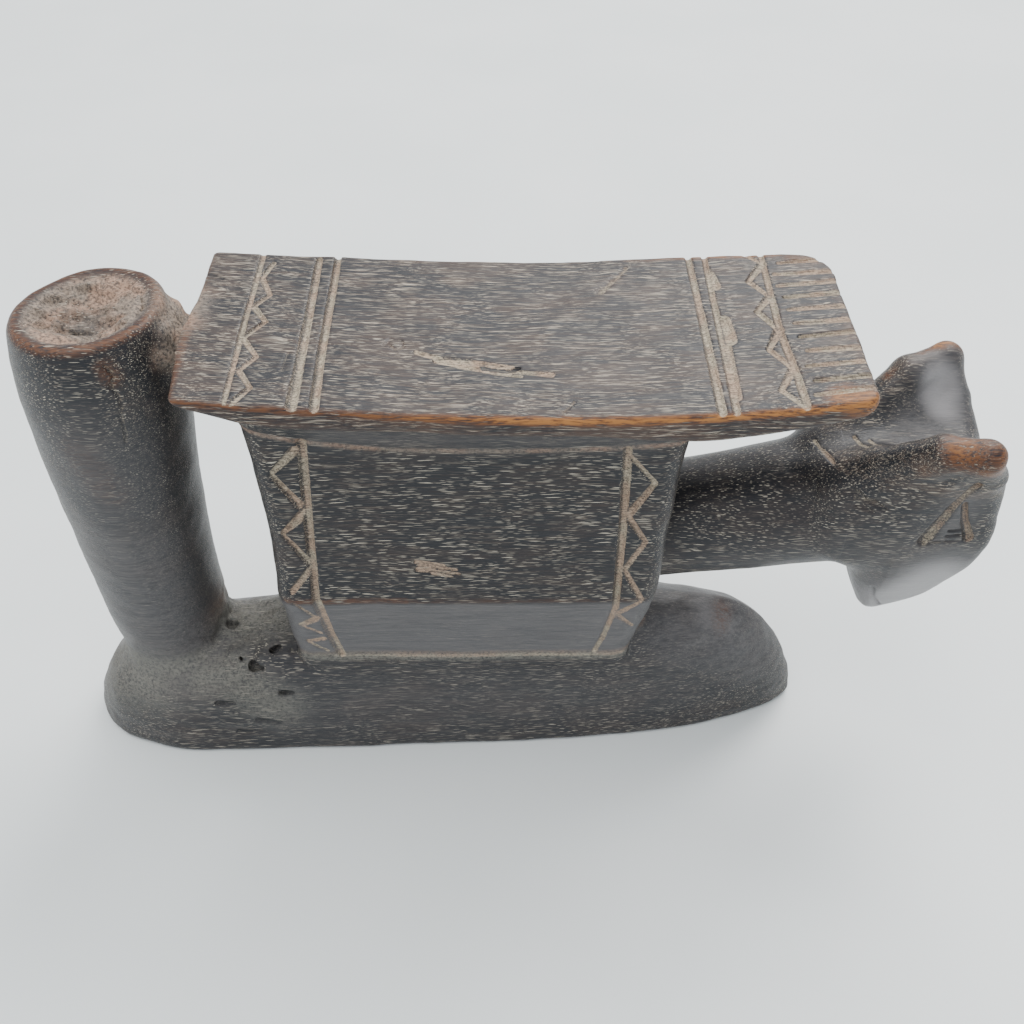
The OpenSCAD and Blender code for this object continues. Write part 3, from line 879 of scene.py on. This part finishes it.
def dust_and_shade_marks(points):
    """Pinkish and grey dust in the dish, the creases and the rough work. In the dish it thins towards the
    middle, leaving painted shade in the bottom of the hollow.
    """
    g = at_points(points)
    from_dish = np.hypot(g.x - post_middle(POST_RIM) + 0.3, g.y)
    dish = (1 - step_up(from_dish, 12.5, 15)) * step_up(g.z, 126, 128)
    # Painted shade: less dust at the middle of the dish and just left of it, so the dark wood shows there.
    dish *= 0.3 + 0.5 * step_up(from_dish + 0.25 * (g.x - post_middle(POST_RIM)), 1, 10)
    marks = [dish]
    foot = np.abs(np.hypot(g.x - post_middle(g.z), g.y) - post_radius(g.z) - 0.5)
    marks.append(0.5 * (1 - step_up(foot, 0.3, 2.6)) * (1 - step_up(g.z, 32, 38)))
    level = np.abs(g.z - crease_under_rest(g.x))
    marks.append(0.45 * (1 - step_up(level, 0.2, 1.3)) * (1 - step_up(np.abs(g.x + 10), 50, 54)))
    for a, b, radius, strength in (
            ((-57, -19.4, 40.4), (33, -18.6, 40.6), 1.5, 0.75), ((33, -18.6, 40.6), (37, -9, 45), 1.6, 0.7),
            ((-58, -19, 39), (-58.6, 14, 39), 1.6, 0.5),
            ((-77, 0, 134), (-76, 8, 134), 5, 0.95), ((-76, -9, 131), (-74, -8, 129), 3, 0.85),
            ((-72, 0, 37), (-64, 2, 38), 9, 0.6), ((-72, -18, 26), (-64, -19, 20), 7, 0.45),
            ((-100, -14, 26), (-108, -6, 20), 9, 0.5), ((-84, -16, 28), (-74, -16, 31), 5, 0.5)):
        marks.append(strength * near(points, a, b, radius, 1.0))
    return np.maximum.reduce(marks)


def smooth_and_sheen_marks(points):
    """Where the pores are rubbed full and the wood is slate grey: the faces that turn down or back. The
    strongest patches, on the muzzle, the far side of the head and the mound, also carry a painted light-grey
    reflection.
    """
    g = at_points(points)
    undercut = step_up(g.z, 40, 43) * (1 - step_up(g.z, FOLD_Z - 2, FOLD_Z)) * step_up(-g.y, 17, 18.5)
    undercut *= step_up(g.x, -62, -57) * (1 - step_up(g.x, 36, 40))
    marks = [0.9 * undercut]
    # Strengths above 0.7 also mix in the painted light-grey reflection. It is strongest where they reach 1.0
    # to 1.9: the muzzle, the far side of the head and the mound.
    for a, b, radius, strength in (
            ((-100, 0, 18), (50, 0, 18), 20, 0.42), ((-93, 0, 40), (-95, 0, 104), 17, 0.42),
            ((44, 0, 72), (90, 0, 82), 20, 0.16), ((44, 6, 45), (70, 8, 38), 8, 0.8),
            ((104, 5, 104), (112, 14, 110), 7, 0.8),
            ((98, -8, 50), (112, -11, 62), 10, 1.0), ((40, 0, 57), (90, 0, 63), 6, 0.5),
            ((109, -18, 86), (110.5, -18, 93), 4.5, 0.7), ((84, 0, 98), (110, 0, 100), 4, 0.5),
            ((-95, -16, 74), (-93, -15, 36), 18, 0.75), ((-95, -17, 106), (-95, -17, 76), 15, 0.55),
            ((48, -8, 40), (72, -8, 30), 13, 0.85), ((82, 2, 84), (98, 5, 92), 6, 0.4),
            ((-60, -20, 20), (50, -16, 20), 16, 0.42), ((60, -14, 72), (100, -16, 78), 12, 0.25),
            ((-40, -24, 122), (30, -24, 121), 5, 0.5), ((100, -9, 48), (111, -13, 64), 11, 1.9),
            ((109, 13, 108), (112, 13, 98), 6, 1.9), ((58, -6, 44), (70, -10, 37), 9, 1.3)):
        marks.append(strength * near(points, a, b, radius, 1.0))
    return np.maximum.reduce(marks)


def wear(points):
    return {"pale": pale_marks(points), "honey": honey_marks(points), "dust_and_shade": dust_and_shade_marks(points),
            "smooth_and_sheen": smooth_and_sheen_marks(points)}


# ---- Wood material ----
class Shader:
    """A short way to add nodes to a material and join them up."""

    def __init__(self, name):
        self.material = bpy.data.materials.new(name)
        self.material.use_nodes = True
        self.tree = self.material.node_tree
        self.tree.nodes.clear()

    def add(self, kind, inputs=(), **settings):
        node = self.tree.nodes.new(kind)
        for key, value in settings.items():
            setattr(node, key, value)
        for key, value in dict(inputs).items():
            if isinstance(value, bpy.types.NodeSocket):
                self.tree.links.new(value, node.inputs[key])
            else:
                node.inputs[key].default_value = value
        return node

    def math(self, operation, a, b=0.0, clamp=False):
        return self.add("ShaderNodeMath", {0: a, 1: b}, operation=operation, use_clamp=clamp).outputs[0]

    def remap(self, value, low, high, to_low=0.0, to_high=1.0):
        inputs = {"Value": value, "From Min": low, "From Max": high, "To Min": to_low, "To Max": to_high}
        return self.add("ShaderNodeMapRange", inputs, interpolation_type="SMOOTHSTEP").outputs["Result"]

    def mix(self, share, a, b, blend="MIX"):
        inputs = {"Factor": share, "A": a, "B": b}
        node = self.add("ShaderNodeMix", data_type="RGBA", blend_type=blend)
        for key, value in inputs.items():
            socket = next(s for s in node.inputs if s.name == key and s.enabled)
            if isinstance(value, bpy.types.NodeSocket):
                self.tree.links.new(value, socket)
            else:
                socket.default_value = value
        return next(s for s in node.outputs if s.enabled)

    def scaled(self, coordinates, scale, offset=(0, 0, 0)):
        inputs = {"Vector": coordinates, "Scale": scale, "Location": offset}
        return self.add("ShaderNodeMapping", inputs).outputs["Vector"]

    def noise(self, coordinates, detail=2.0, roughness=0.5):
        inputs = {"Vector": coordinates, "Scale": 1.0, "Detail": detail, "Roughness": roughness}
        return self.add("ShaderNodeTexNoise", inputs).outputs["Fac"]

    def mark(self, name):
        return self.add("ShaderNodeAttribute", attribute_name=name).outputs["Fac"]


def colour(red, green, blue):
    return (red, green, blue, 1.0)


BLACK_WOOD = colour(0.006, 0.0068, 0.0103)
BROWN_WOOD = colour(0.042, 0.027, 0.021)
BUFF = colour(0.60, 0.545, 0.44)
HONEY_DARK = colour(0.1, 0.036, 0.012)
HONEY_LIGHT = colour(0.31, 0.132, 0.034)
PALE_CUT = colour(0.45, 0.385, 0.285)
PINK_DUST = colour(0.40, 0.265, 0.19)
GREY_DUST = colour(0.21, 0.205, 0.175)
PINK_CUT = colour(0.44, 0.32, 0.23)
STREAK = colour(0.42, 0.36, 0.28)
SLATE = colour(0.098, 0.095, 0.097)
# Painted reflection: the light grey mixed into the strongest slate patches.
SHEEN_GREY = colour(0.27, 0.262, 0.265)


def pores(sh, grain, cell, size, seed):
    """Spindle-shaped pores along X: one in each cell, seen as dashes or end-on as dots."""
    place = sh.scaled(grain, [1 / c for c in cell], (seed * 7.3, seed * 3.1, seed * 5.7))
    inputs = {"Vector": place, "Scale": 1.0, "Randomness": 1.0}
    gap = sh.add("ShaderNodeTexVoronoi", inputs, feature="F1").outputs["Distance"]
    return sh.remap(gap, size * 1.25, size * 0.75)


def wood_material(name, brown, pore_strength, streaky):
    """Dark hardwood with buff pores along X, honey wear, pale cuts, dust and slate patches. It also has
    painted shade on one wall of each cut and in the middle of the dish, and a painted light-grey reflection
    on the strongest slate patches.
    """
    sh = Shader(name)
    place = sh.add("ShaderNodeTexCoord").outputs["Object"]
    mm = sh.scaled(place, (1000, 1000, 1000))
    sway = sh.add("ShaderNodeTexNoise", {"Vector": sh.scaled(mm, (0.035, 0.06, 0.06)), "Scale": 1.0,
                                         "Detail": 2.0}).outputs["Color"]
    shift = sh.add("ShaderNodeVectorMath", {0: sway, 1: (0.0, 3.2, 3.2)}, operation="MULTIPLY").outputs[0]
    grain = sh.add("ShaderNodeVectorMath", {0: mm, 1: shift}, operation="ADD").outputs[0]

    blotch = sh.noise(sh.scaled(mm, (0.05, 0.09, 0.09)), 3.0, 0.6)
    streak = sh.noise(sh.scaled(grain, (0.05, 1.3, 1.3)), 4.0, 0.7)
    fibre = sh.noise(sh.scaled(grain, (0.14, 3.6, 3.6)), 3.0, 0.65)
    brownness = sh.remap(streak, 0.38, 0.66, -0.3, 0.5)
    brownness = sh.math("ADD", sh.remap(blotch, 0.38, 0.68, 0.0, 0.75), brownness)
    brownness = sh.math("MULTIPLY", brownness, brown, clamp=True)
    base = sh.mix(brownness, BLACK_WOOD, BROWN_WOOD)
    light_streak = sh.math("MULTIPLY", sh.remap(fibre, 0.53, 0.66), sh.remap(streak, 0.4, 0.6, 0.1, 0.9))
    base = sh.mix(sh.math("MULTIPLY", light_streak, streaky, clamp=True), base, STREAK)

    layers = ((11.0, 0.6, 0.48), 0.17, 1.0), ((7.5, 0.5, 0.4), 0.17, 0.8), ((4.5, 0.42, 0.34), 0.17, 0.6)
    pore = None
    for seed, (cell, size, weight) in enumerate(layers):
        layer = sh.math("MULTIPLY", pores(sh, grain, cell, size, seed + 1), weight)
        pore = layer if pore is None else sh.math("MAXIMUM", pore, layer)
    density = sh.remap(sh.noise(sh.scaled(mm, (0.06, 0.12, 0.12), (3, 8, 1)), 2.0), 0.3, 0.62, 0.4, 1.0)
    pore = sh.math("MULTIPLY", sh.math("MULTIPLY", pore, density), sh.remap(fibre, 0.3, 0.6, 0.5, 1.0))
    smooth_and_sheen = sh.math("MULTIPLY", sh.mark("smooth_and_sheen"), sh.remap(streak, 0.3, 0.62, 0.55, 1.1), clamp=True)
    filled = sh.math("MULTIPLY", sh.mark("smooth_and_sheen"), 1.5, clamp=True)
    pore = sh.math("MULTIPLY", pore, sh.math("SUBTRACT", 1.0, sh.math("MULTIPLY", filled, 0.88)))
    skin = sh.mix(sh.math("MULTIPLY", smooth_and_sheen, 0.8, clamp=True), base, SLATE)
    # Painted reflection: where the mark runs from 0.7 to 1.9 the colour turns light grey.
    skin = sh.mix(sh.remap(sh.mark("smooth_and_sheen"), 0.7, 1.9), skin, SHEEN_GREY)
    skin = sh.mix(sh.math("MULTIPLY", pore, pore_strength, clamp=True), skin, BUFF)

    grit = sh.noise(sh.scaled(mm, (1.3, 1.3, 1.3)), 4.0, 0.7)
    along = sh.noise(sh.scaled(grain, (0.22, 2.4, 2.4)), 3.0, 0.65)
    honey = sh.math("MULTIPLY", sh.mark("honey"), sh.remap(along, 0.3, 0.6, 0.3, 1.15), clamp=True)
    honey_tone = sh.mix(sh.remap(honey, 0.4, 1.0), HONEY_DARK, HONEY_LIGHT)
    skin = sh.mix(sh.remap(honey, 0.06, 0.6), skin, honey_tone)

    dust_and_shade = sh.math("MULTIPLY", sh.mark("dust_and_shade"), sh.remap(grit, 0.34, 0.6, 0.2, 1.25), clamp=True)
    dust_kind = sh.remap(sh.noise(sh.scaled(mm, (0.12, 0.12, 0.12), (5, 2, 9)), 2.0), 0.4, 0.6)
    rise = sh.add("ShaderNodeSeparateXYZ", {0: mm}).outputs["Z"]
    pinkness = sh.math("ADD", sh.math("MULTIPLY", dust_kind, 0.6), 0.4)
    pink = sh.math("MULTIPLY", sh.remap(rise, 39, 44), pinkness)
    # This mask also carries the painted shade in the dish, where it thins towards the middle.
    skin = sh.mix(dust_and_shade, skin, sh.mix(pink, GREY_DUST, PINK_DUST))

    mark = sh.mark("pale")
    chips = sh.noise(sh.scaled(mm, (1.7, 2.4, 2.4)), 3.0, 0.7)
    scraped = sh.math("MULTIPLY", sh.remap(chips, 0.36, 0.58, 0.35, 1.1),
                      sh.remap(fibre, 0.34, 0.56, 0.35, 1.1))
    ragged = sh.math("ADD", mark, sh.math("MULTIPLY", sh.math("SUBTRACT", chips, 0.62), 0.9))
    pale = sh.math("MULTIPLY", sh.math("MAXIMUM", mark, 0.0), sh.remap(ragged, 0.2, 0.6))
    pale = sh.math("MULTIPLY", pale, scraped, clamp=True)
    skin = sh.mix(pale, skin, sh.mix(dust_kind, PALE_CUT, PINK_CUT))
    hole = sh.math("MULTIPLY", sh.math("MAXIMUM", sh.math("MULTIPLY", mark, -1.0), 0.0), 0.9, clamp=True)
    skin = sh.mix(hole, skin, BLACK_WOOD)

    dull = sh.math("MAXIMUM", sh.math("MAXIMUM", dust_and_shade, pale), sh.math("MULTIPLY", pore, 0.6))
    polish = sh.remap(streak, 0.3, 0.7, 0.34, 0.48)
    rough = sh.math("ADD", polish, sh.math("MULTIPLY", dull, 0.4), clamp=True)
    relief = sh.math("ADD", sh.math("MULTIPLY", pore, -0.5), sh.math("MULTIPLY", along, 0.6))
    relief = sh.math("ADD", relief, sh.math("MULTIPLY", sh.math("MULTIPLY", dull, grit), 1.8))
    relief = sh.math("ADD", relief, sh.math("MULTIPLY", fibre, 0.35))
    normal = sh.add("ShaderNodeBump", {"Strength": 0.7, "Distance": 0.00025, "Height": relief}).outputs[0]
    shader = sh.add("ShaderNodeBsdfPrincipled", {"Base Color": skin, "Roughness": rough, "Normal": normal})
    shader.inputs["IOR"].default_value = 1.4
    output = sh.add("ShaderNodeOutputMaterial")
    sh.tree.links.new(shader.outputs[0], output.inputs["Surface"])
    return sh.material


# ---- Stage, light and camera ----
def make_floor():
    """A plain pale table, faintly mottled."""
    sh = Shader("pale_table")
    place = sh.add("ShaderNodeTexCoord").outputs["Object"]
    mottle = sh.noise(sh.scaled(place, (9, 9, 9)), 3.0, 0.5)
    tone = sh.mix(sh.remap(mottle, 0.35, 0.65), colour(0.71, 0.75, 0.75), colour(0.745, 0.78, 0.78))
    shader = sh.add("ShaderNodeBsdfPrincipled", {"Base Color": tone, "Roughness": 0.45})
    output = sh.add("ShaderNodeOutputMaterial")
    sh.tree.links.new(shader.outputs[0], output.inputs["Surface"])
    mesh = bpy.data.meshes.new("table")
    reach = 3.0
    mesh.from_pydata([(-reach, -reach, 0), (reach, -reach, 0), (reach, reach, 0), (-reach, reach, 0)], [],
                     [(0, 1, 2, 3)])
    floor = bpy.data.objects.new("table", mesh)
    floor.data.materials.append(sh.material)
    bpy.context.scene.collection.objects.link(floor)


def make_light():
    """Soft white light from above and behind, in a pale room."""
    world = bpy.data.worlds.new("pale_room")
    bpy.context.scene.world = world
    world.use_nodes = True
    world.node_tree.nodes["Background"].inputs["Color"].default_value = colour(0.93, 0.96, 1.0)
    world.node_tree.nodes["Background"].inputs["Strength"].default_value = 1.18
    for name, place, size, power in (("window", (0.5, 0.9, 1.3), 1.0, 27),
                                     ("ceiling", (-0.5, -0.2, 1.6), 1.4, 20)):
        lamp = bpy.data.lights.new(name, "AREA")
        lamp.size = size
        lamp.energy = power
        lamp.color = (1.0, 0.985, 0.96)
        holder = bpy.data.objects.new(name, lamp)
        holder.location = place
        holder.rotation_euler = (-Vector(place)).to_track_quat("-Z", "Y").to_euler()
        bpy.context.scene.collection.objects.link(holder)


def make_camera():
    """The photographer's place: in front, looking 43 degrees down."""
    yaw, down, roll = (math.radians(a) for a in (1.968, 42.922, 1.293))
    ahead = Vector((math.sin(yaw) * math.cos(down), math.cos(yaw) * math.cos(down), -math.sin(down)))
    right = Vector((math.cos(yaw), -math.sin(yaw), 0))
    up = right.cross(ahead)
    turned_right = math.cos(roll) * right + math.sin(roll) * up
    turned_up = math.cos(roll) * up - math.sin(roll) * right
    data = bpy.data.cameras.new("camera")
    data.sensor_width = 36
    data.lens = 42.19
    camera = bpy.data.objects.new("camera", data)
    turn = Matrix((turned_right, turned_up, -ahead)).transposed().to_4x4()
    camera.matrix_world = Matrix.Translation(Vector((-6.7, -229.8, 289.3)) * MM) @ turn
    bpy.context.scene.collection.objects.link(camera)
    bpy.context.scene.camera = camera


make_camera()
make_light()
make_floor()

MATERIALS = {"dark_wood": wood_material("dark_wood", 0.45, 1.0, 0.3),
             "worn_wood": wood_material("worn_wood", 1.1, 0.6, 1.0)}
SLOTS = {part["node"]: part["material_slot"] for part in frame["record"]["subparts"]}
for node in STEPS:
    made = mesh_piece(node)
    made.data.materials.append(MATERIALS[SLOTS[node]])
    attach(made, "root")
    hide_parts(node)
